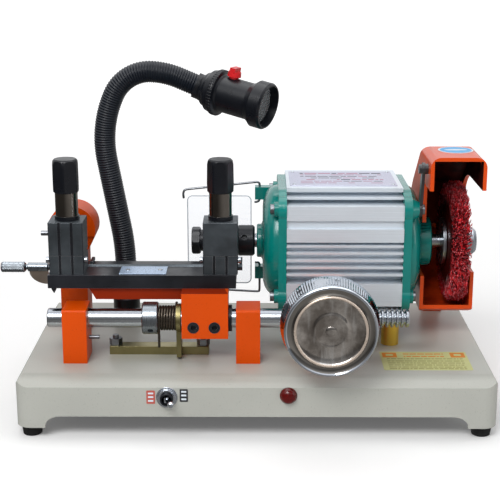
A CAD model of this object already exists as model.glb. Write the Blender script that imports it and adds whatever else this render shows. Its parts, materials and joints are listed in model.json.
"""Looks of the bench key duplicating machine: materials, fine pieces, light and camera."""
import json
import math
import random

import bmesh
import bpy
from mathutils import Matrix, Vector


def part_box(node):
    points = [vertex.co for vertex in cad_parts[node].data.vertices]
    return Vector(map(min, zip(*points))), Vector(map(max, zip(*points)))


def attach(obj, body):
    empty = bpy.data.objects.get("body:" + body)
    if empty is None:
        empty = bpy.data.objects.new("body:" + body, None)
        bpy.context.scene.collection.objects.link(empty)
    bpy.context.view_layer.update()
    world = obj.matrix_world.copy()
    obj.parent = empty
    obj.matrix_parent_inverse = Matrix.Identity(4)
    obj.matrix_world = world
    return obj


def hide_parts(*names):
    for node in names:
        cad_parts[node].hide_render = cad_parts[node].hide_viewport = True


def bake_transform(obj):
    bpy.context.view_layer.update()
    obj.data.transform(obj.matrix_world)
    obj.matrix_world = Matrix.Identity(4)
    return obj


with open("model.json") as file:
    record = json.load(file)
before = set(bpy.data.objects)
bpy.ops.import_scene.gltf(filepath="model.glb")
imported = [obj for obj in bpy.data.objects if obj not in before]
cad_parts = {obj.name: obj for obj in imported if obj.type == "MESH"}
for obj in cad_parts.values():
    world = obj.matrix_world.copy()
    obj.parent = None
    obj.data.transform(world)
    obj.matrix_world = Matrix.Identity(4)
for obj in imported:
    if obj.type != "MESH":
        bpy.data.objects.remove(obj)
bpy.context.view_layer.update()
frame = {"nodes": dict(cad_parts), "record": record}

nodes = frame["nodes"]
MM = 0.001
base_low, base_high = (Vector(corner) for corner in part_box("base_casting"))
HOME = Vector(((base_low.x + base_high.x) / 2, (base_low.y + base_high.y) / 2, 0.0))


def at(x, y, z):
    """A point in millimetres from the middle of the base, at bench height."""
    return HOME + Vector((x, y, z)) * MM


# ---------- materials ----------

class Shader:
    """One node material, built up step by step around a Principled BSDF."""

    def __init__(self, name, rough=0.4, metal=0.0, coat=0.0, spec=0.5):
        self.material = bpy.data.materials.new(name)
        self.material.use_nodes = True
        self.tree = self.material.node_tree
        self.bsdf = self.tree.nodes["Principled BSDF"]
        self.put("Roughness", rough)
        self.put("Metallic", metal)
        self.put("Coat Weight", coat)
        self.put("Coat Roughness", 0.12)
        self.put("Specular IOR Level", spec)
        self.where = self.add("ShaderNodeTexCoord").outputs["Object"]
        self.normal = None

    def put(self, socket, value):
        self.feed(self.bsdf.inputs[socket], value)

    def feed(self, socket, value):
        if isinstance(value, bpy.types.NodeSocket):
            self.tree.links.new(value, socket)
        else:
            socket.default_value = value

    def add(self, kind, inputs=(), **settings):
        node = self.tree.nodes.new(kind)
        for key, value in settings.items():
            setattr(node, key, value)
        for key, value in dict(inputs).items():
            self.feed(node.inputs[key], value)
        return node

    def noise(self, scale, stretch=(1, 1, 1), detail=3.0, rough=0.55):
        place = self.add("ShaderNodeMapping", {"Vector": self.where, "Scale": stretch})
        return self.add("ShaderNodeTexNoise", {
            "Vector": place.outputs[0], "Scale": scale, "Detail": detail, "Roughness": rough,
        }).outputs["Fac"]

    def spread(self, value, low, high, a=0.0, b=1.0):
        return self.add("ShaderNodeMapRange", {
            "Value": value, "From Min": low, "From Max": high, "To Min": a, "To Max": b,
        }).outputs[0]

    def math(self, how, a, b=0.0):
        return self.add("ShaderNodeMath", {0: a, 1: b}, operation=how).outputs[0]

    def mix(self, share, a, b):
        node = self.add("ShaderNodeMix", data_type="RGBA")
        self.feed(node.inputs[0], share)
        self.feed(node.inputs[6], a)
        self.feed(node.inputs[7], b)
        return node.outputs[2]

    def axis(self, letter):
        return self.add("ShaderNodeSeparateXYZ", {"Vector": self.where}).outputs[letter]

    def bump(self, height, strength=0.2, distance=0.0005):
        node = self.add("ShaderNodeBump", {
            "Height": height, "Strength": strength, "Distance": distance,
        })
        if self.normal is not None:
            self.feed(node.inputs["Normal"], self.normal)
        self.normal = node.outputs[0]
        self.put("Normal", self.normal)

    def edge(self, radius, low=0.02, high=0.2):
        """Mask that is 1 on worn edges: how far a rounded normal turns from the true one."""
        rounded = self.add("ShaderNodeBevel", {"Radius": radius}, samples=4).outputs[0]
        true = self.add("ShaderNodeNewGeometry").outputs["Normal"]
        dot = self.add("ShaderNodeVectorMath", {0: rounded, 1: true}, operation="DOT_PRODUCT")
        return self.spread(self.math("SUBTRACT", 1.0, dot.outputs["Value"]), low, high)


def rgba(r, g, b):
    return (r, g, b, 1.0)


def painted(name, color, rough=0.3, coat=0.35, cast=0.0, wear=(0.3, 0.3, 0.3), worn=0.35,
            spec=0.5, drift=0.1):
    """Enamel over cast metal: slow tone shifts, orange peel, dust specks and rubbed edges."""
    s = Shader(name, coat=coat, spec=spec)
    slow = s.noise(9.0, detail=2.0)
    specks = s.spread(s.noise(700.0, detail=1.0), 0.66, 0.74)
    dark = rgba(*(c * (1 - drift) for c in color))
    light = rgba(*(min(1.0, c * (1 + drift * 0.6)) for c in color))
    tone = s.mix(s.spread(slow, 0.3, 0.7), dark, light)
    tone = s.mix(s.math("MULTIPLY", specks, 0.25), tone, rgba(*(c * 0.45 for c in color)))
    rub = s.math("MULTIPLY", s.edge(0.0007), s.spread(s.noise(260.0), 0.5, 0.7, 0.0, worn))
    s.put("Base Color", s.mix(rub, tone, rgba(*wear)))
    s.put("Roughness", s.spread(s.noise(45.0), 0.25, 0.8,
                                rough * (1 - drift), rough * (1 + drift)))
    s.bump(s.noise(520.0, detail=2.0), 0.12, 0.0003)
    if cast:
        s.bump(s.noise(190.0, detail=3.0), cast, 0.0008)
    return s.material


def machined(name, color, rough=0.25, lines=(1, 1, 1), scale=60.0, strength=0.1, stain=0.25,
             metal=1.0):
    """Bare metal with tool marks along one direction, faint stains and scratches."""
    s = Shader(name, metal=metal)
    marks = s.noise(scale, stretch=lines, detail=4.0, rough=0.7)
    stains = s.spread(s.noise(26.0, detail=4.0), 0.42, 0.72)
    tone = s.mix(s.math("MULTIPLY", stains, stain), rgba(*color),
                 rgba(*(c * 0.5 for c in color)))
    tone = s.mix(s.spread(marks, 0.3, 0.7, 0.0, 0.35), tone, rgba(*(c * 0.72 for c in color)))
    s.put("Base Color", tone)
    s.put("Roughness", s.spread(marks, 0.3, 0.7, rough * 0.7, rough * 1.4))
    s.bump(marks, strength, 0.0002)
    return s.material


def blackened(name, color, rough=0.33, bright=(0.4, 0.41, 0.43), metal=0.75, spec=0.5):
    """Black-oxide steel: oily blue-black, brighter where edges and faces have rubbed."""
    s = Shader(name, metal=metal, spec=spec)
    grind = s.noise(40.0, stretch=(1, 1, 26), detail=4.0, rough=0.7)
    tone = s.mix(s.spread(s.noise(30.0, detail=3.0), 0.35, 0.7), rgba(*color),
                 rgba(*(c * 2.0 for c in color)))
    tone = s.mix(s.math("MULTIPLY", s.edge(0.0006), 0.75), tone, rgba(*bright))
    s.put("Base Color", tone)
    s.put("Roughness", s.spread(grind, 0.3, 0.7, rough * 0.75, rough * 1.3))
    s.bump(grind, 0.07, 0.0002)
    return s.material


def moulded(name, color, rough=0.45, grain=900.0, strength=0.18, metal=0.0, dust=0.12,
            spec=0.35):
    """Moulded plastic or rubber with a fine spark-eroded grain and a little dust."""
    s = Shader(name, metal=metal, spec=spec)
    dusty = s.math("MULTIPLY", s.spread(s.noise(60.0, detail=5.0), 0.5, 0.75), dust)
    s.put("Base Color", s.mix(dusty, rgba(*color), rgba(*(min(1, c + 0.16) for c in color))))
    s.put("Roughness", s.spread(s.noise(70.0), 0.3, 0.7, rough * 0.85, rough * 1.2))
    s.bump(s.noise(grain, detail=2.0), strength, 0.0002)
    return s.material


def clear(name, color, shine=0.06, scratch=0.03):
    """Thin clear sheet: mostly see-through, with a faint sheen and hairline scratches."""
    s = Shader(name, rough=0.05)
    hairs = s.spread(s.noise(35.0, stretch=(1, 1, 30), detail=4.0), 0.55, 0.8)
    s.put("Base Color", rgba(0.8, 0.85, 0.9))
    s.put("Roughness", s.spread(hairs, 0.0, 1.0, 0.05, 0.35))
    s.bump(s.noise(25.0), scratch, 0.0002)
    glass = s.add("ShaderNodeBsdfTransparent", {"Color": rgba(*color)})
    share = s.add("ShaderNodeMapRange", {"Value": hairs, "To Min": shine, "To Max": shine * 2.0})
    both = s.add("ShaderNodeMixShader", {0: share.outputs[0], 1: glass.outputs[0]})
    s.tree.links.new(s.bsdf.outputs[0], both.inputs[2])
    s.tree.links.new(both.outputs[0], s.tree.nodes["Material Output"].inputs["Surface"])
    return s.material


def dish_material():
    """Chrome that has clouded: warm grey blotches drift over it between brighter streaks."""
    s = Shader("dish_chrome", metal=1.0)
    cloud = s.spread(s.noise(38.0, detail=4.0, rough=0.65), 0.38, 0.62)
    tone = s.mix(cloud, rgba(0.27, 0.24, 0.215), rgba(0.64, 0.60, 0.56))
    streak = s.noise(30.0, stretch=(4, 1, 0.6), detail=3.0)
    tone = s.mix(s.spread(streak, 0.55, 0.7, 0.0, 0.6), tone, rgba(0.85, 0.84, 0.82))
    s.put("Base Color", tone)
    s.put("Roughness", s.spread(s.noise(55.0), 0.3, 0.7, 0.1, 0.24))
    s.bump(s.noise(34.0, detail=3.0), 0.35, 0.0012)
    return s.material


def shaft_material():
    """Ground steel with an oil film that has dulled its upper side."""
    s = Shader("ground_shaft", metal=1.0)
    low, high = (Vector(c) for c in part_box("carriage_shaft"))
    film = s.spread(s.axis("Z"), (low.z + high.z) / 2 + 1.5 * MM, high.z - 1.0 * MM)
    marks = s.noise(30.0, stretch=(60, 1, 1), detail=4.0, rough=0.7)
    tone = s.mix(film, rgba(0.62, 0.66, 0.70), rgba(0.20, 0.21, 0.235))
    tone = s.mix(s.spread(marks, 0.3, 0.7, 0.0, 0.35), tone, rgba(0.36, 0.38, 0.41))
    s.put("Base Color", tone)
    s.put("Roughness", s.spread(marks, 0.3, 0.7, 0.12, 0.24))
    s.bump(marks, 0.05, 0.0002)
    return s.material


BASE = painted("base_enamel", (0.44, 0.445, 0.405), rough=0.42, coat=0.12, spec=0.4,
               wear=(0.36, 0.35, 0.33), worn=0.12, drift=0.07)
ORANGE = painted("orange_enamel", (0.70, 0.072, 0.0), rough=0.34, coat=0.04, spec=0.12,
                 wear=(0.3, 0.06, 0.01), worn=0.2)
ORANGE_CAST = painted("orange_cast_enamel", (0.66, 0.058, 0.0), rough=0.34, coat=0.08,
                      spec=0.18, cast=0.12, wear=(0.3, 0.06, 0.01), worn=0.2)
ARM_SHADE = painted("arm_enamel", (0.26, 0.018, 0.0), rough=0.4, coat=0.0, spec=0.12,
                    wear=(0.2, 0.03, 0.01), worn=0.2)
GUARD_ORANGE = painted("guard_enamel", (0.68, 0.062, 0.0), rough=0.3, coat=0.25, spec=0.2,
                       cast=0.12, wear=(0.3, 0.06, 0.01), worn=0.2)
TEAL = painted("teal_cast_enamel", (0.0, 0.235, 0.205), rough=0.24, coat=0.5, spec=0.3, cast=0.5,
               wear=(0.01, 0.1, 0.08), worn=0.2, drift=0.25)
ALUMINIUM = machined("extruded_aluminium", (0.76, 0.82, 0.88), rough=0.42, lines=(0.5, 40, 40),
                     scale=26.0, strength=0.12, stain=0.1, metal=0.4)
CHROME = machined("chrome", (0.62, 0.66, 0.72), rough=0.09, scale=40.0, strength=0.02,
                  stain=0.25)
DARK_CHROME = machined("dark_chrome", (0.33, 0.31, 0.285), rough=0.14, scale=40.0,
                       strength=0.03, stain=0.5)
DISH = dish_material()
CREAM = machined("worn_ring", (0.66, 0.55, 0.46), rough=0.25, scale=60.0, strength=0.05,
                 metal=0.5)
SHAFT = shaft_material()
STEEL = machined("ground_steel", (0.42, 0.45, 0.49), rough=0.28, lines=(40, 3, 3), scale=30.0,
                 strength=0.1)
BOLT_STEEL = machined("bolt_steel", (0.26, 0.27, 0.29), rough=0.34, lines=(3, 3, 40),
                      strength=0.1, stain=0.6)
SATIN = machined("satin_steel", (0.25, 0.275, 0.30), rough=0.3, lines=(40, 3, 3), scale=30.0,
                 strength=0.1)
ZINC = machined("yellow_zinc", (0.86, 0.58, 0.10), rough=0.36, scale=45.0, strength=0.06,
                stain=0.7)
OLIVE = machined("olive_zinc", (0.30, 0.26, 0.12), rough=0.36, scale=45.0, strength=0.06,
                 stain=0.7)
BRONZE = machined("oiled_bronze", (0.50, 0.30, 0.12), rough=0.34, lines=(40, 3, 3))
COPPER = machined("enamelled_copper", (0.62, 0.22, 0.07), rough=0.3, lines=(60, 2, 2),
                  strength=0.3)
BLACK_STEEL = blackened("black_oxide", (0.010, 0.011, 0.014), bright=(0.16, 0.16, 0.18),
                        metal=0.15, spec=0.3)
JAW_STEEL = blackened("jaw_steel", (0.055, 0.064, 0.072), rough=0.45)
SPRING_STEEL = blackened("spring_steel", (0.05, 0.04, 0.03), rough=0.3,
                         bright=(0.45, 0.42, 0.36))
DARK_PAINT = painted("dark_enamel", (0.02, 0.021, 0.024), rough=0.35, wear=(0.2, 0.2, 0.2))
BLACK_PLASTIC = moulded("black_plastic", (0.004, 0.005, 0.008), rough=0.3, dust=0.02)
HOSE_PLASTIC = moulded("hose_plastic", (0.0035, 0.006, 0.0115), rough=0.36, strength=0.1,
                       dust=0.02)
RED_PLASTIC = moulded("red_plastic", (0.62, 0.012, 0.016), rough=0.25, strength=0.05, dust=0.03)
RUBBER = moulded("rubber", (0.009, 0.009, 0.009), rough=0.75, grain=500.0, strength=0.3,
                 dust=0.12)
PANE = clear("clear_pane", (0.985, 0.99, 1.0))
LENS = clear("frosted_lens", (0.9, 0.9, 0.86), shine=0.12)
STEM = machined("knob_stem", (0.20, 0.18, 0.16), rough=0.17, lines=(3, 3, 0.2), scale=200.0,
                strength=0.05, stain=0.6)
TAB = machined("worn_tab", (0.60, 0.50, 0.42), rough=0.34, scale=50.0, strength=0.08, stain=0.5)
PLATE_BLUE = machined("pale_plate", (0.42, 0.53, 0.70), rough=0.3, lines=(30, 2, 2),
                      strength=0.05, stain=0.2, metal=0.4)
CLEAR_EDGE = moulded("pane_edge", (0.55, 0.60, 0.66), rough=0.25, strength=0.05)
PAPER = moulded("yellow_paper", (0.52, 0.53, 0.24), rough=0.6, grain=700.0, strength=0.05,
                dust=0.2)
INK_ORANGE = moulded("orange_ink", (0.60, 0.20, 0.02), rough=0.55, strength=0.05, dust=0.1)
INK_OLIVE = moulded("olive_ink", (0.20, 0.17, 0.045), rough=0.6, strength=0.05, dust=0.1)
INK_RED = moulded("red_ink", (0.50, 0.10, 0.075), rough=0.5, strength=0.05, dust=0.2)
INK_PINK = moulded("pink_ink", (0.42, 0.16, 0.24), rough=0.5, strength=0.05, dust=0.3)
INK_DARK = moulded("dark_ink", (0.03, 0.03, 0.035), rough=0.5, strength=0.05, dust=0.2)
INK_BLUE = moulded("blue_ink", (0.04, 0.36, 0.72), rough=0.35, strength=0.05, dust=0.1)
INK_WHITE = moulded("white_ink", (0.68, 0.74, 0.80), rough=0.4, strength=0.05, dust=0.1)
MOTOR_PLATE = machined("motor_plate", (0.56, 0.57, 0.70), rough=0.36, lines=(30, 2, 2),
                       strength=0.06, stain=0.2, metal=0.4)


def indicator_material():
    """Deep red moulded lens with fine rings."""
    s = Shader("red_lens", rough=0.16, coat=0.15, spec=0.3)
    rings = s.add("ShaderNodeTexWave", {"Vector": s.where, "Scale": 260.0},
                  wave_type="RINGS", rings_direction="Y").outputs["Fac"]
    s.put("Base Color", s.mix(rings, rgba(0.05, 0.001, 0.001), rgba(0.15, 0.003, 0.002)))
    s.put("Subsurface Weight", 0.25)
    s.put("Subsurface Scale", 0.003)
    s.bump(rings, 0.1, 0.0003)
    return s.material


def sooty_material():
    """The guard's lining: enamel under brush dust and soot that thickens upwards."""
    s = Shader("sooty_enamel", rough=0.55, spec=0.15)
    clean = s.mix(s.spread(s.noise(60.0), 0.35, 0.65), rgba(0.34, 0.024, 0.003),
                  rgba(0.55, 0.045, 0.004))
    grime = s.mix(s.spread(s.noise(90.0, detail=4.0), 0.35, 0.65), rgba(0.012, 0.002, 0.002),
                  rgba(0.06, 0.006, 0.004))
    s.put("Base Color", s.mix(s.spread(s.axis("Z"), 0.12, 0.21), clean, grime))
    s.bump(s.noise(420.0), 0.3, 0.0003)
    return s.material


def bristle_material():
    """Red wire that is bright at the tips and sinks into shade towards the hub."""
    s = Shader("red_bristle", rough=0.36, spec=0.4)
    low, high = (Vector(c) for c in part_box("brush_wheel"))
    y, z = (low.y + high.y) / 2, (low.z + high.z) / 2
    dy = s.math("SUBTRACT", s.axis("Y"), y)
    dz = s.math("SUBTRACT", s.axis("Z"), z)
    square = s.math("ADD", s.math("MULTIPLY", dy, dy), s.math("MULTIPLY", dz, dz))
    tip = s.spread(s.math("SQRT", square), 0.040, 0.060)
    tone = s.mix(s.spread(s.noise(160.0), 0.35, 0.65), rgba(0.14, 0.003, 0.006),
                 rgba(0.90, 0.018, 0.03))
    pale = s.spread(s.noise(430.0, detail=1.0), 0.54, 0.66, 0.0, 0.9)
    tone = s.mix(pale, tone, rgba(0.9, 0.26, 0.30))
    s.put("Base Color", s.mix(tip, rgba(0.05, 0.002, 0.002), tone))
    s.bump(s.noise(900.0), 0.3, 0.0003)
    return s.material


INDICATOR = indicator_material()
BRISTLE = bristle_material()

LOOKS = {
    "base_casting": BASE, "base_cover": DARK_PAINT, "rubber_feet": RUBBER,
    "frame_fasteners": BOLT_STEEL, "power_inlet": BLACK_PLASTIC, "run_capacitor": DARK_PAINT,
    "switch_body": BLACK_PLASTIC, "switch_nut": CHROME, "toggle_lever": CHROME,
    "indicator_lamp": INDICATOR, "left_bearing_block": ORANGE, "middle_bearing_block": ORANGE,
    "shaft_bushes": BRONZE, "spring_rail": OLIVE, "pinion_housing": ORANGE,
    "pinion_shaft": STEEL, "handwheel": CHROME, "carriage_shaft": SHAFT,
    "shaft_collar": SATIN, "stop_ring": BLACK_STEEL, "torsion_spring": SPRING_STEEL,
    "spring_lever": OLIVE, "carriage_casting": ORANGE, "clamp_screws": BLACK_STEEL,
    "carriage_bed": BLACK_STEEL, "lower_jaws": JAW_STEEL, "clamp_studs": STEEL,
    "left_upper_jaw": JAW_STEEL, "right_upper_jaw": JAW_STEEL,
    "left_clamp_knob": BLACK_PLASTIC, "right_clamp_knob": BLACK_PLASTIC, "gauge_rod": SATIN,
    "motor_posts": ZINC, "motor_housing": ALUMINIUM, "end_bell_left": TEAL,
    "end_bell_right": TEAL, "tie_bolts": BOLT_STEEL, "stator_core": DARK_PAINT,
    "stator_windings": COPPER, "motor_bearings": STEEL, "rotor_shaft": STEEL,
    "spindle_hub": BLACK_STEEL, "cutter_wheel": STEEL, "cutter_nut": BLACK_STEEL,
    "brush_wheel": BRISTLE, "brush_flanges": STEEL, "brush_guard": GUARD_ORANGE,
    "guard_strap": DARK_PAINT, "tracer_column": ORANGE, "tracer_finger": STEEL,
    "shield_wire": BOLT_STEEL, "shield_pane": PANE, "lamp_flange": BLACK_PLASTIC,
    "gooseneck_lower": HOSE_PLASTIC, "gooseneck_upper": HOSE_PLASTIC,
    "lamp_head": BLACK_PLASTIC, "lamp_lens": LENS, "lamp_switch": RED_PLASTIC,
    "label_plates": BASE, "bed_nameplate": PLATE_BLUE,
}
EASE = {"base_casting": (2.2, 4), "motor_housing": (0.35, 2), "brush_guard": (1.5, 4),
        "end_bell_left": (1.0, 3), "end_bell_right": (1.0, 3), "carriage_casting": (0.9, 3),
        "left_bearing_block": (0.9, 3), "middle_bearing_block": (0.9, 3),
        "pinion_housing": (0.9, 3), "tracer_column": (1.0, 3), "rubber_feet": (1.2, 3),
        "lamp_head": (0.6, 3), "lamp_switch": (0.8, 3), "shield_pane": (0.15, 1),
        "cutter_wheel": (0.1, 1), "carriage_shaft": (0.25, 2), "left_clamp_knob": (0.5, 3),
        "right_clamp_knob": (0.5, 3)}


def ease_edges(o, width, segments):
    """Rounds a CAD node's edges with modifiers; its own mesh stays as packed."""
    o.data.shade_smooth()
    weld = o.modifiers.new("weld", "WELD")
    weld.merge_threshold = 0.002 * MM
    flat = o.modifiers.new("flat", "DECIMATE")
    flat.decimate_type = "DISSOLVE"
    flat.angle_limit = math.radians(0.4)
    ease = o.modifiers.new("ease", "BEVEL")
    ease.width = width * MM
    ease.segments = segments
    ease.limit_method = "ANGLE"
    ease.angle_limit = math.radians(32)
    ease.harden_normals = False
    even = o.modifiers.new("even", "WEIGHTED_NORMAL")
    even.weight = 60
    even.keep_sharp = False


for name, o in nodes.items():
    o.data.materials.clear()
    o.data.materials.append(LOOKS[name])
    ease_edges(o, *EASE.get(name, (0.35, 2)))


# ---------- mesh building ----------

class Shape:
    """Collects lofted rings and plates, in metres, and turns them into one closed-up object."""

    def __init__(self):
        self.verts, self.faces, self.slots = [], [], []

    def ring(self, points):
        first = len(self.verts)
        self.verts += [tuple(p) for p in points]
        return list(range(first, first + len(points)))

    def face(self, ids, slot=0):
        self.faces.append(tuple(ids))
        self.slots.append(slot)

    def skin(self, a, b, slot=0):
        """Joins two rings; a ring of one point is a pole."""
        n = max(len(a), len(b))
        for i in range(n):
            j = (i + 1) % n
            if len(a) == 1:
                self.face((a[0], b[j], b[i]), slot)
            elif len(b) == 1:
                self.face((a[i], a[j], b[0]), slot)
            else:
                self.face((a[i], a[j], b[j], b[i]), slot)

    def loft(self, rings, cap=True, slots=None):
        ids = [self.ring(r) for r in rings]
        for i in range(len(ids) - 1):
            self.skin(ids[i], ids[i + 1], slots[i] if slots else 0)
        if cap:
            for end, slot in ((ids[0], 0), (ids[-1], -1)):
                if len(end) > 2:
                    self.face(end, slots[slot] if slots else 0)

    def lathe(self, profile, place, sides=64, ripple=None, closed=False):
        """Turns (radius, height, slot) points about the +Z axis of place; sizes in mm."""
        rings, slots = [], []
        for p in profile + ([profile[0]] if closed else []):
            r, h = p[0], p[1]
            slots.append(p[2] if len(p) > 2 else 0)
            if r < 1e-6:
                rings.append([place @ Vector((0, 0, h * MM))])
                continue
            points = []
            for i in range(sides):
                a = math.tau * i / sides
                q = r * (ripple(i, p) if ripple else 1.0) * MM
                points.append(place @ Vector((q * math.cos(a), q * math.sin(a), h * MM)))
            rings.append(points)
        self.loft(rings, cap=False, slots=slots)

    def tube(self, path, radius, sides=12, up=None):
        """A round wire along path; radius is a number or one number per point, in metres."""
        radii = radius if isinstance(radius, (list, tuple)) else [radius] * len(path)
        side = up
        rings = []
        for i, p in enumerate(path):
            ahead = (path[min(i + 1, len(path) - 1)] - path[max(i - 1, 0)]).normalized()
            if side is None:
                side = ahead.orthogonal()
            side = (side - ahead * side.dot(ahead)).normalized()
            other = ahead.cross(side)
            rings.append([p + (side * math.cos(a) + other * math.sin(a)) * radii[i]
                          for a in (math.tau * k / sides for k in range(sides))])
        self.loft(rings)

    def plate(self, outline, low, high, place, slot=0, ease=0.0):
        """A flat plate: outline in mm, from low to high along place's +Z, its top edge eased."""
        middle = Vector((sum(p[0] for p in outline), sum(p[1] for p in outline))) / len(outline)
        rings = [[place @ Vector((x * MM, y * MM, low * MM)) for x, y in outline],
                 [place @ Vector((x * MM, y * MM, (high - ease) * MM)) for x, y in outline]]
        if ease:
            inner = []
            for x, y in outline:
                d = Vector((x, y)) - middle
                q = middle + d * (1 - ease / max(d.length, 1e-6))
                inner.append(place @ Vector((q.x * MM, q.y * MM, high * MM)))
            rings.append(inner)
        self.loft(rings, slots=[slot] * len(rings))

    def make(self, name, body, *looks, replaces=(), smooth=35):
        mesh = bpy.data.meshes.new(name)
        mesh.from_pydata(self.verts, [], self.faces)
        mesh.update()
        for look in looks:
            mesh.materials.append(look)
        mesh.polygons.foreach_set("material_index", self.slots)
        work = bmesh.new()
        work.from_mesh(mesh)
        bmesh.ops.recalc_face_normals(work, faces=work.faces)
        work.to_mesh(mesh)
        work.free()
        mesh.shade_smooth()
        if smooth < 180:
            mesh.set_sharp_from_angle(angle=math.radians(smooth))
        o = bpy.data.objects.new(name, mesh)
        bpy.context.scene.collection.objects.link(o)
        if body:
            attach(o, body)
        if replaces:
            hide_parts(*replaces)
        return o


def facing(origin, direction, along):
    """Frame at origin whose +Z is direction and whose +X leans to along."""
    z = Vector(direction).normalized()
    x = Vector(along)
    x = (x - z * x.dot(z)).normalized()
    turn = Matrix((x, z.cross(x), z)).transposed()
    return Matrix.Translation(origin) @ turn.to_4x4()


def rounded(w, d, r, steps=6):
    """Outline of a rectangle w by d with corners of radius r, about its middle."""
    points = []
    for cx, cy, start in ((1, 1, 0), (-1, 1, 90), (-1, -1, 180), (1, -1, 270)):
        for i in range(steps + 1):
            a = math.radians(start + 90 * i / steps)
            points.append((cx * (w / 2 - r) + r * math.cos(a), cy * (d / 2 - r) + r * math.sin(a)))
    return points


def disc(r, steps=48):
    """Outline of a circle of radius r."""
    return [(r * math.cos(math.tau * i / steps), r * math.sin(math.tau * i / steps))
            for i in range(steps)]


def joint_place(name):
    """A point on a joint's axis, and the axis's direction."""
    joint = next(j for j in frame["record"]["behaviour"]["joints"] if j["name"] == name)
    return Vector(joint["pos_m"]), Vector(joint["axis"])


def rounded_path(points, radius, steps=6):
    """The polyline through points, with each corner turned on a curve of about that radius."""
    path = [points[0]]
    for before, corner, after in zip(points, points[1:], points[2:]):
        a = (before - corner).normalized() * min(radius, (before - corner).length * 0.45)
        b = (after - corner).normalized() * min(radius, (after - corner).length * 0.45)
        for i in range(steps + 1):
            t = i / steps
            path.append(corner + a * (1 - t) ** 2 + b * t ** 2)
    return path + [points[-1]]


# ---------- gooseneck ----------

HOSE_RADIUS = 11.1
RIB_PITCH = 2.55
RIB_DEPTH = 0.85
# straight or bent pieces: (length or radius in mm, turn in degrees), upwards from the flange
HOSE_PIECES = [(53, 0), (229, 10.1), (72.4, 0), (112.7, -34.9), (40.6, -68), (83.7, -20.2),
               (25, 0)]
HOSE_START = (-138.0, 60.0, 66.2)


def hose_line(step):
    """Points every step mm along the hose's middle, and the point where it ends."""
    x, y, z = HOSE_START
    angle = 90.0
    points, left = [], 0.0
    for size, turn in HOSE_PIECES:
        length = size if turn == 0 else math.radians(abs(turn)) * size
        travel = left
        while travel < length:
            if turn == 0:
                a = math.radians(angle)
                points.append(at(x + travel * math.cos(a), y, z + travel * math.sin(a)))
            else:
                sign = 1 if turn > 0 else -1
                a0 = math.radians(angle)
                a1 = a0 + sign * travel / size
                points.append(at(x + sign * size * (math.sin(a1) - math.sin(a0)), y,
                                 z - sign * size * (math.cos(a1) - math.cos(a0))))
            travel += step
        left = travel - length
        a0 = math.radians(angle)
        a1 = math.radians(angle + turn)
        if turn == 0:
            x, z = x + size * math.cos(a0), z + size * math.sin(a0)
        else:
            sign = 1 if turn > 0 else -1
            x += sign * size * (math.sin(a1) - math.sin(a0))
            z -= sign * size * (math.cos(a1) - math.cos(a0))
        angle += turn
    return points, at(x, y, z)


def make_hose():
    """One ribbed hose in place of the gooseneck's two lengths, bending where they meet."""
    per_rib = 8
    points, _ = hose_line(RIB_PITCH / per_rib)
    radii = []
    for i in range(len(points)):
        wave = 0.5 + 0.5 * math.cos(math.tau * i / per_rib)
        radii.append((HOSE_RADIUS - RIB_DEPTH * (1 - wave ** 0.6)) * MM)
    shape = Shape()
    shape.tube(points, radii, sides=40, up=Vector((0, 1, 0)))
    hose = shape.make("gooseneck_hose", None, HOSE_PLASTIC, smooth=180,
                      replaces=("gooseneck_lower", "gooseneck_upper"))
    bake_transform(hose)


make_hose()


# ---------- torsion spring ----------

def make_spring():
    """Six close coils round the carriage shaft, with one leg standing down to the rail."""
    coil_r, wire_r, turns, pitch, per_turn = 11.0, 1.25, 6.2, 2.6, 28
    x0, y, z = -93.0, -64.0, 100.5
    path = [at(x0, y - 10.6, z - 26), at(x0, y - 10.9, z - 18), at(x0, y - 11, z - 8)]
    for i in range(int(turns * per_turn) + 1):
        a = math.pi + math.tau * i / per_turn
        path.append(at(x0 + pitch * i / per_turn, y + coil_r * math.cos(a),
                       z - coil_r * math.sin(a)))
    tail = path[-1]
    ahead = (path[-1] - path[-2]).normalized()
    path += [tail + ahead * 5 * MM, tail + ahead * 9 * MM]
    shape = Shape()
    shape.tube(path, wire_r * MM, sides=12, up=Vector((1, 0, 0)))
    shape.make("torsion_coil", "carriage_slide", SPRING_STEEL, smooth=180,
               replaces=("torsion_spring",))


make_spring()


# ---------- brush ----------

BRISTLES = 3000
BRISTLE_RADIUS = 0.42


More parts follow.
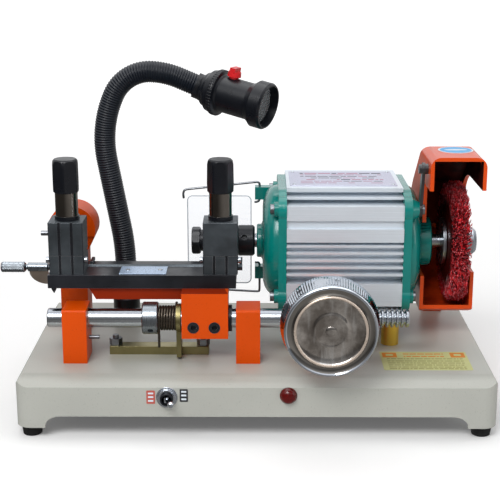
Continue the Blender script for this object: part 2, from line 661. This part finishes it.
def make_brush():
    """A dark core disc with crimped bristles of uneven length standing out of its rim."""
    rng = random.Random(11)
    low, high = (Vector(c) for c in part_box("brush_wheel"))
    x0, x1 = low.x / MM, high.x / MM
    axis = Vector((0, (low.y + high.y) / 2, (low.z + high.z) / 2))
    outer = (high.z - low.z) / 2 / MM
    place = facing(axis, (1, 0, 0), (0, 0, 1))
    core = Shape()
    core.lathe([(6.4, x0 + 1), (34, x0 + 1), (44, x0 + 4), (50, x0 + 7), (52, (x0 + x1) / 2),
                (50, x1 - 7), (44, x1 - 4), (34, x1 - 1), (6.4, x1 - 1)], place, 96,
               ripple=lambda i, p: 1 + (0.012 * math.sin(i * 2.399) if p[0] > 30 else 0),
               closed=True)
    core.make("brush_core", "spindle", BRISTLE)
    strands = Shape()
    for _ in range(BRISTLES):
        a = rng.uniform(0, math.tau)
        across = rng.uniform(-1, 1)
        x = (x0 + x1) / 2 + across * (x1 - x0 - 2) * 0.42
        length = outer - rng.uniform(0.0, 3.5) - (4 * abs(across) ** 3)
        start = rng.uniform(33, 44)
        drift = rng.gauss(0, 0.035)
        lean = across * 1.8 + rng.gauss(0, 1.0)
        phase, size = rng.uniform(0, math.tau), rng.uniform(0.5, 1.1)
        path = []
        for k in range(7):
            t = k / 6
            r = start + (length - start) * t
            turn = a + drift * t + size / r * math.sin(phase + t * 9.0)
            px = min(max(x + lean * t + size * math.cos(phase + t * 8.0), x0 + 0.6), x1 - 0.6)
            path.append(Vector((px * MM, axis.y + r * MM * math.sin(turn),
                                axis.z + r * MM * math.cos(turn))))
        strands.tube(path, [BRISTLE_RADIUS * MM] * 6 + [0.3 * MM], sides=4)
    strands.make("brush_bristles", "spindle", BRISTLE, smooth=180, replaces=("brush_wheel",))


make_brush()


# ---------- handwheel ----------

def make_handwheel():
    """Chromed wheel: knurled tapering rim, dull rolled groove, worn ring and a dished centre."""
    low, high = (Vector(c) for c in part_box("handwheel"))
    hub = Vector(((low.x + high.x) / 2, high.y, (low.z + high.z) / 2))
    r, t = (high.x - low.x) / 2 / MM, (high.y - low.y) / MM
    front = r - 3.2
    teeth, per_tooth = 110, 4
    knurl = (1.0, 0.992, 0.984, 0.992)
    profile = [(5.0, 0), (13, 0), (13, 12), (r - 10, 12), (r - 6, 1), (r - 5, 0), (r - 2, 0),
               (r - 0.3, 1.2), (r, 2.6), (r, 7), (r - 0.8, 11), (r - 1.6, 15), (r - 2.2, 19),
               (r - 2.6, 22), (front - 0.1, 23.4), (front + 0.2, 24.4)]
    profile += [(front - 1.6 + 1.8 * math.cos(a), t - 2.4 + 1.8 * math.sin(a))
                for a in (math.radians(d) for d in range(0, 91, 15))]
    profile += [(front - 2.6, t - 1.2, 1), (front - 4.5, t - 2.2, 1), (front - 6.5, t - 2.5, 1),
                (front - 8, t - 1.9, 1), (33.2, t - 0.9, 2), (32.8, t - 0.3, 2),
                (32.2, t, 2), (31.4, t - 0.2, 2), (30.8, t - 1.0, 3), (29.5, t - 1.7, 3),
                (24, t - 2.6, 3), (19, t - 3.0, 3), (16.8, t - 2.8, 3), (15.6, t - 2.2, 3),
                (14.6, t - 2.0, 3), (13.8, t - 2.2, 3), (12, t - 2.5, 3), (6, t - 2.7, 3),
                (5.0, t - 2.7, 3)]
    place = facing(hub, (0, -1, 0), (0, 0, 1))
    shape = Shape()
    shape.lathe(profile, place, teeth * per_tooth,
                ripple=lambda i, p: knurl[i % per_tooth] if 2 < p[1] < 23 and p[0] > r - 4 else 1,
                closed=True)
    shape.make("handwheel_dish", "handwheel", CHROME, DARK_CHROME, CREAM, DISH, smooth=30,
               replaces=("handwheel",))
    cap = Shape()
    cap.lathe([(0, t - 1.6), (4.2, t - 1.7), (4.8, t - 2.1), (5.0, t - 3.4), (5.0, t - 8),
               (0, t - 8)], place, 48)
    cap.make("handwheel_centre", "handwheel", DISH)


make_handwheel()


# ---------- gauge rod's knob ----------

def make_gauge_knob():
    """A knurled sleeve over the gauge rod's plain knob."""
    low, _ = (Vector(c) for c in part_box("gauge_rod"))
    middle = joint_place("gauge_flip")[0]
    x0 = low.x / MM
    place = facing(Vector((0, middle.y, middle.z)), (1, 0, 0), (0, 0, 1))
    ridges = 36
    profile = [(0, x0 + 0.05), (4.0, x0 + 0.05), (4.6, x0 + 0.5), (5.0, x0 + 1.2)]
    profile += [(5.05 if i % 2 else 4.75, x0 + 1.6 + i * 0.8) for i in range(26)]
    profile += [(5.0, x0 + 22.6), (4.4, x0 + 23.4), (2.7, x0 + 23.8), (0, x0 + 23.8)]
    shape = Shape()
    shape.lathe(profile, place, ridges * 3,
                ripple=lambda i, p: 1 + (0.028 if i % 3 == 0 else -0.014) * (p[0] > 4.6))
    shape.make("gauge_knurl", "gauge", SATIN)


make_gauge_knob()


# ---------- shield wires and pane edge ----------

def make_shield():
    """The two bent wires that carry the pane, and a thin polished rim round the pane."""
    hinge = joint_place("shield_swing")[0]
    x, y = (hinge.x - HOME.x) / MM, (hinge.y - HOME.y) / MM
    left = -72.0
    pane_x, pane_z, pane_w, pane_h = -39, 146, 66, 94
    shape = Shape()
    runs = [
        [(left - 4, y, 190), (left - 4.6, y, 195), (left - 3.2, y, 199.3), (x - 2, y, 207.6),
         (x, y, 206), (x, y, 189), (x - 1.5, y, 186.6), (x - 5.5, y, 186)],
        [(x - 5, y, 121), (x, y, 121), (x, y, 89.6), (x - 2, y, 89), (left, y, 93),
         (left, y, 99)],
    ]
    for run in runs:
        shape.tube(rounded_path([at(*p) for p in run], 3.5 * MM), 1.2 * MM, sides=12)
    shape.make("shield_hangers", "shield", BOLT_STEEL, smooth=180, replaces=("shield_wire",))
    edge = Shape()
    outline = [at(pane_x + px, y - 1.7, pane_z + pz) for px, pz in rounded(pane_w, pane_h, 5)]
    edge.tube(outline + outline[:1], 0.55 * MM, sides=6)
    edge.make("shield_edge", "shield", CLEAR_EDGE, smooth=180)


make_shield()


# ---------- plates and labels ----------

# Plain marks where a machine of this kind carries its labels; they hold no words.
# Beside the switch on the base's front: middle x, middle z, width, height, slot
SWITCH_MARKS = ((-98, 42, 8, 13, 0), (-67.3, 43.7, 7.6, 12.4, 1))
STICKER_AT, STICKER_SIZE = (162, -72, 60), (84, 50)
RATING_AT, RATING_SIZE = (85, 25, 218), (105, 70)
GUARD_DISC_AT, GUARD_DISC_R = (192, -12, 254), 17


def make_switch_marks():
    """A red and a dark plate with three plain bars each, either side of the toggle switch."""
    front = (Vector(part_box("base_casting")[0]).y - HOME.y) / MM
    face = facing(at(0, front, 0), (0, -1, 0), (1, 0, 0))
    shape = Shape()
    for cx, cz, w, h, slot in SWITCH_MARKS:
        place = face @ Matrix.Translation((cx * MM, cz * MM, 0))
        shape.plate(rounded(w, h, 0.8), -0.1, 0.35, place, slot)
        for dz in (-3.6, 0.2, 3.8):
            shape.plate(rounded(w * 0.62, 1.7, 0.3), 0.3, 0.45,
                        place @ Matrix.Translation((0, dz * MM, 0)), 2)
    shape.make("switch_marks", "root", INK_RED, INK_DARK, INK_WHITE, replaces=("label_plates",))


def make_sticker(rng):
    """Yellow paper with two orange signs and rows of plain dashes of random length."""
    top = facing(at(*STICKER_AT), (0, 0, 1), (1, 0, 0))
    shape = Shape()
    shape.plate(rounded(*STICKER_SIZE, 1.5), -0.1, 0.3, top, 0)
    for dx in (-33, 33):
        sign = top @ Matrix.Translation((dx * MM, 15.5 * MM, 0))
        shape.plate(rounded(14, 13, 0.5), 0.25, 0.42, sign, 1)
        shape.plate(rounded(7, 5, 1), 0.38, 0.5, sign, 0)
    for row, y in enumerate((18.5, 11.5, 5, -1, -6.5, -12, -17.5, -22)):
        heading = row < 2
        width = 40 if heading else 74
        x = -width / 2
        while x < width / 2 - 2:
            step = min(rng.uniform(2.5, 9), width / 2 - x)
            shape.plate(rounded(step - 1, 2.4 if heading else 1.3, 0.3), 0.25, 0.4,
                        top @ Matrix.Translation(((x + step / 2) * MM, y * MM, 0)),
                        1 if heading else 2)
            x += step
    shape.make("base_sticker", "root", PAPER, INK_ORANGE, INK_OLIVE)


def make_rating_plate(rng):
    """The motor's riveted plate with broken rows of plain dashes."""
    top = facing(at(*RATING_AT), (0, 0, 1), (1, 0, 0))
    shape = Shape()
    shape.plate(rounded(*RATING_SIZE, 1.5), -0.1, 0.8, top, 0, ease=0.3)
    for sx in (-1, 1):
        for sy in (-1, 1):
            place = top @ Matrix.Translation(Vector((sx * 48.5, sy * 31, 0.8)) * MM)
            shape.lathe([(0, 1.1, 1), (0.9, 0.95, 1), (1.7, 0.3, 1), (1.8, -0.1, 1),
                         (0, -0.1, 1)], place, 20)
    for row, y in enumerate((24, 17, 9, 1, -7, -15, -23)):
        x = -42.0
        while x < 40:
            step = min(rng.uniform(4, 14), 42 - x)
            if rng.random() < 0.72:
                shape.plate(rounded(step - 1.4, 2.6 if row in (0, 4) else 1.5, 0.3), 0.75, 0.92,
                            top @ Matrix.Translation(((x + step / 2) * MM, y * MM, 0)),
                            2 if rng.random() < 0.6 else 3)
            x += step
    shape.make("motor_rating_plate", "root", MOTOR_PLATE, STEEL, INK_PINK, INK_DARK)


def make_guard_disc():
    """A blue disc with a white rim and a plain white oval, on top of the brush guard."""
    top = facing(at(*GUARD_DISC_AT), (0, 0, 1), (1, 0, 0))
    oval = [(11 * math.cos(a), 3.4 * math.sin(a)) for a in (math.tau * i / 40 for i in range(40))]
    shape = Shape()
    shape.plate(disc(GUARD_DISC_R), -0.1, 0.35, top, 1)
    shape.plate(disc(GUARD_DISC_R - 1.8), 0.3, 0.5, top, 0)
    shape.plate(oval, 0.45, 0.6, top, 1)
    shape.make("guard_disc", "root", INK_BLUE, INK_WHITE)


dashes = random.Random(5)
make_switch_marks()
make_sticker(dashes)
make_rating_plate(dashes)
make_guard_disc()


# ---------- lamp ----------

LAMP_LENGTH = 60.0
LAMP_YAW, LAMP_DROP = -26.6, 11.0       # where the lamp points, in degrees
GRIP_RIBS = 48


def make_lamp_rings():
    """Grip ribs round the lamp's cap and a bead round its bezel."""
    _, end = hose_line(1.0)
    yaw, drop = math.radians(LAMP_YAW), math.radians(LAMP_DROP)
    beam = Vector((math.cos(yaw) * math.cos(drop), math.sin(yaw) * math.cos(drop),
                   -math.sin(drop)))
    place = facing(end, beam, (0, 0, 1))
    shape = Shape()
    for r, h, w in ((23.2, 19.5, 1.1), (18.7, 30, 0.5), (23.7, LAMP_LENGTH + 6, 0.6),
                    (23.7, LAMP_LENGTH + 11, 0.6)):
        profile = [(r - 1 + w * math.cos(a), h + w * 1.5 * math.sin(a))
                   for a in (math.tau * k / 14 for k in range(14))]
        shape.lathe(profile, place, 120, closed=True)
    for k in range(GRIP_RIBS):
        a = math.tau * k / GRIP_RIBS
        out = place.to_3x3() @ Vector((math.cos(a), math.sin(a), 0))
        along = place.to_3x3() @ Vector((0, 0, 1))
        path = [end + out * 22.7 * MM + along * (h * MM) for h in (16.8, 17.2, 19.5, 21.8, 22.2)]
        shape.tube(path, [0.3 * MM, 0.8 * MM, 0.85 * MM, 0.8 * MM, 0.3 * MM], sides=8)
    shape.make("lamp_grip", "lamp", BLACK_PLASTIC, smooth=180)


make_lamp_rings()


# ---------- finishes that change across one CAD node ----------

def paint_faces(node, look, test):
    """Gives the faces of a CAD node whose middle passes test(x, y, z in mm) another finish."""
    mesh = nodes[node].data
    mesh.materials.append(look)
    slot = len(mesh.materials) - 1
    for face in mesh.polygons:
        c = (face.center - HOME) / MM
        if test(c.x, c.y, c.z):
            face.material_index = slot


ARM_RIGHT = -67.0                       # left of this the carriage's casting is its arm
GAUGE_Y, GAUGE_Z = -29.0, 141.0         # the line of the gauge rod
TAB_LEFT, TAB_RIGHT = -223.0, -203.5    # the gauge's worn tab, between its knob and its blades
BED_RIVETS = ((-124, -47), (-93, -47))
STRAP_BACK = 60.0                       # behind this the guard's strap is orange

knob_low = Vector(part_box("left_clamp_knob")[0]).z / MM
washer, grip_low = 4.2, 27.2            # the bright stem stands between them, above knob_low
for knob in ("left_clamp_knob", "right_clamp_knob"):
    box_low, box_high = (Vector(c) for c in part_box(knob))
    cx, cy = [(box_low[i] + box_high[i]) / 2 for i in (0, 1)]

    def on_stem(x, y, z, cx=(cx - HOME.x) / MM, cy=(cy - HOME.y) / MM):
        r = math.hypot(x - cx, y - cy)
        return knob_low + washer < z < knob_low + grip_low and 10.0 < r < 11.2

    paint_faces(knob, STEM, on_stem)

paint_faces("carriage_casting", ARM_SHADE, lambda x, y, z: x < ARM_RIGHT)
paint_faces("gauge_rod", TAB, lambda x, y, z: TAB_LEFT < x < TAB_RIGHT and z < GAUGE_Z - 0.1
            and y > GAUGE_Y - 2 and math.hypot(y - GAUGE_Y, z - GAUGE_Z) > 4.5)
paint_faces("gauge_rod", JAW_STEEL, lambda x, y, z: x > TAB_RIGHT - 0.1)
paint_faces("gauge_rod", BLACK_STEEL, lambda x, y, z: y > GAUGE_Y + 3.1)
jaw_front = (Vector(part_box("left_upper_jaw")[0]).y - HOME.y) / MM
for jaw in ("left_upper_jaw", "lower_jaws"):
    paint_faces(jaw, BLACK_STEEL, lambda x, y, z: jaw_front + 0.2 < y < jaw_front + 1.6)
paint_faces("bed_nameplate", STEEL, lambda x, y, z: any(
    math.hypot(x - rivet_x, y - rivet_y) < 2.5 for rivet_x, rivet_y in BED_RIVETS))
paint_faces("guard_strap", ORANGE, lambda x, y, z: y > STRAP_BACK)


def soil_guard():
    """Soot on the guard's inner faces: those that look towards the spindle's line."""
    mesh = nodes["brush_guard"].data
    mesh.materials.append(sooty_material())
    slot = len(mesh.materials) - 1
    left, right = (Vector(c).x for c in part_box("brush_guard"))
    spin = joint_place("spindle_spin")[0]
    wall = 4.2 * MM
    for face in mesh.polygons:
        c, n = face.center, face.normal
        if n.x > 0.9:
            inner = c.x < left + wall
        elif n.x < -0.9:
            inner = c.x > right - wall
        else:
            across = (spin.y - c.y) * n.y + (spin.z - c.z) * n.z
            inner = left + wall < c.x < right - wall and across > 0.01
        if inner and (abs(n.y) < 0.95 or c.y > spin.y):
            face.material_index = slot


soil_guard()


# ---------- light, floor and camera ----------

AMBIENT = 0.36
# brightness of the room as polished work sees it: (place, value) from below up, and from the
# front to the back
ROOM_UP = ((0.0, 0.2), (0.5, 0.12), (0.62, 0.24), (0.80, 0.95), (0.92, 1.5))
ROOM_BACK = ((0.0, 0.0), (0.5, 0.05), (0.6, 0.5), (0.85, 0.95))


def floor_material():
    """Pale floor, whitest in the camera's own rays; bright work mirrors it as a dull one."""
    s = Shader("floor", rough=0.8, spec=0.1)
    pale = s.mix(s.spread(s.noise(3.0), 0.3, 0.7), rgba(0.90, 0.90, 0.90), rgba(0.94, 0.94, 0.94))
    s.put("Base Color", pale)
    s.bump(s.noise(300.0), 0.02, 0.0005)
    rays = s.add("ShaderNodeLightPath").outputs
    far = s.spread(s.axis("Y"), 0.1, 2.0, 0.10, 0.8)
    glow = s.add("ShaderNodeEmission", {
        "Color": rgba(1, 1, 1), "Strength": s.math("MULTIPLY", far, rays["Is Camera Ray"]),
    })
    lit = s.add("ShaderNodeAddShader", {0: s.bsdf.outputs[0], 1: glow.outputs[0]})
    side = s.spread(s.axis("X"), -0.45, 0.45)
    dull = s.add("ShaderNodeEmission", {
        "Color": s.mix(side, rgba(0.09, 0.085, 0.08), rgba(0.46, 0.45, 0.44)), "Strength": 1.0,
    })
    seen = s.add("ShaderNodeMixShader", {
        0: rays["Is Glossy Ray"], 1: lit.outputs[0], 2: dull.outputs[0],
    })
    s.tree.links.new(seen.outputs[0], s.tree.nodes["Material Output"].inputs["Surface"])
    return s.material


def make_world():
    """Even light for matt surfaces. Polished ones see a dark room in front, a white one behind."""
    world = bpy.data.worlds.new("studio")
    bpy.context.scene.world = world
    world.use_nodes = True
    tree = world.node_tree

    def new(kind, *inputs, **settings):
        node = tree.nodes.new(kind)
        for key, value in settings.items():
            setattr(node, key, value)
        for key, value in inputs:
            if isinstance(value, bpy.types.NodeSocket):
                tree.links.new(value, node.inputs[key])
            else:
                node.inputs[key].default_value = value
        return node

    toward = new("ShaderNodeSeparateXYZ",
                 ("Vector", new("ShaderNodeTexCoord").outputs["Generated"])).outputs
    ramps = []
    for letter, stops in (("Z", ROOM_UP), ("Y", ROOM_BACK)):
        share = new("ShaderNodeMapRange", ("Value", toward[letter]), ("From Min", -1.0))
        ramp = new("ShaderNodeValToRGB", ("Fac", share.outputs[0]))
        ramp.color_ramp.interpolation = "EASE"
        for i, (place, v) in enumerate(stops):
            e = ramp.color_ramp.elements[i] if i < 2 else ramp.color_ramp.elements.new(place)
            e.position = place
            e.color = (v, v * 1.01, v * 1.03, 1)
        ramps.append(ramp.outputs[0])
    room = new("ShaderNodeMix", (0, 1.0), (6, ramps[0]), (7, ramps[1]), data_type="RGBA",
               blend_type="LIGHTEN").outputs[2]
    rays = new("ShaderNodeLightPath").outputs
    lit = new("ShaderNodeMix", (0, rays["Is Glossy Ray"]), (6, (AMBIENT, AMBIENT, AMBIENT, 1)),
              (7, room), data_type="RGBA").outputs[2]
    seen = new("ShaderNodeMix", (0, rays["Is Camera Ray"]), (6, lit), (7, (1, 1, 1, 1)),
               data_type="RGBA").outputs[2]
    tree.links.new(seen, tree.nodes["Background"].inputs["Color"])


def make_stage():
    """The floor, wide enough to reach past the picture's edges."""
    mesh = bpy.data.meshes.new("floor")
    mesh.from_pydata([(-6, -4, 0), (6, -4, 0), (6, 12, 0), (-6, 12, 0)], [], [(0, 1, 2, 3)])
    mesh.materials.append(floor_material())
    floor = bpy.data.objects.new("floor", mesh)
    bpy.context.scene.collection.objects.link(floor)


def area_light(name, place, aim, size, power):
    """A rectangular light, size in metres and power in watts."""
    light = bpy.data.lights.new(name, "AREA")
    light.shape = "RECTANGLE"
    light.size, light.size_y = size
    light.energy = power
    o = bpy.data.objects.new(name, light)
    bpy.context.scene.collection.objects.link(o)
    o.location = place
    o.rotation_euler = (Vector(aim) - Vector(place)).to_track_quat("-Z", "Y").to_euler()


def make_camera():
    """Stands a metre in front of the wheel and looks down on the machine by 15 degrees."""
    cam = bpy.data.cameras.new("camera")
    cam.sensor_width, cam.lens = 36.0, 86.4
    o = bpy.data.objects.new("camera", cam)
    bpy.context.scene.collection.objects.link(o)
    o.location = at(0, -1158, 461)
    o.rotation_euler = (math.radians(75.0), 0.0, math.radians(0.334))
    bpy.context.scene.camera = o


make_stage()
make_world()
area_light("key", (-0.4, -1.15, 1.25), (0, 0, 0.1), (0.9, 0.6), 17.0)
area_light("top", (0.1, 0.3, 1.4), (0, 0, 0.1), (1.8, 1.0), 7.0)
area_light("side", (1.3, -0.5, 0.6), (0, 0, 0.15), (0.3, 0.9), 2.0)
make_camera()
bpy.context.scene.view_settings.view_transform = "Standard"
